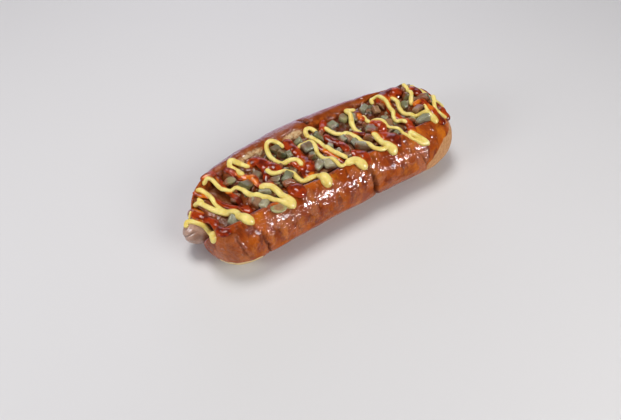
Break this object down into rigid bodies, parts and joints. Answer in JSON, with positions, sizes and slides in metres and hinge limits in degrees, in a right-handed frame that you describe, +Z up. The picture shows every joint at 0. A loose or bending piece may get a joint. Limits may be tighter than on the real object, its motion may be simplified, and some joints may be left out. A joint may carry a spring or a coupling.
{
  "type": "hot dog",
  "caption": "Long glazed bun slit open from above, with a sausage under a heap of diced pickle, crossed by squeezed ketchup and mustard.",
  "frame": {"origin": "on the flat underside of the bun, under the middle of the hot dog's bounding box", "axes": "+X along the bun, from the end where the sausage sticks out to the closed end; +Y towards the far side; +Z up"},
  "size_m": [0.274, 0.109, 0.0562],
  "materials": {
    "bun": "satin",
    "sausage": "gloss",
    "toppings": "gloss"
  },
  "bodies": {
    "root": {"bun": "bun", "sausage": "sausage", "toppings": "toppings"}
  },
  "joints": []
}
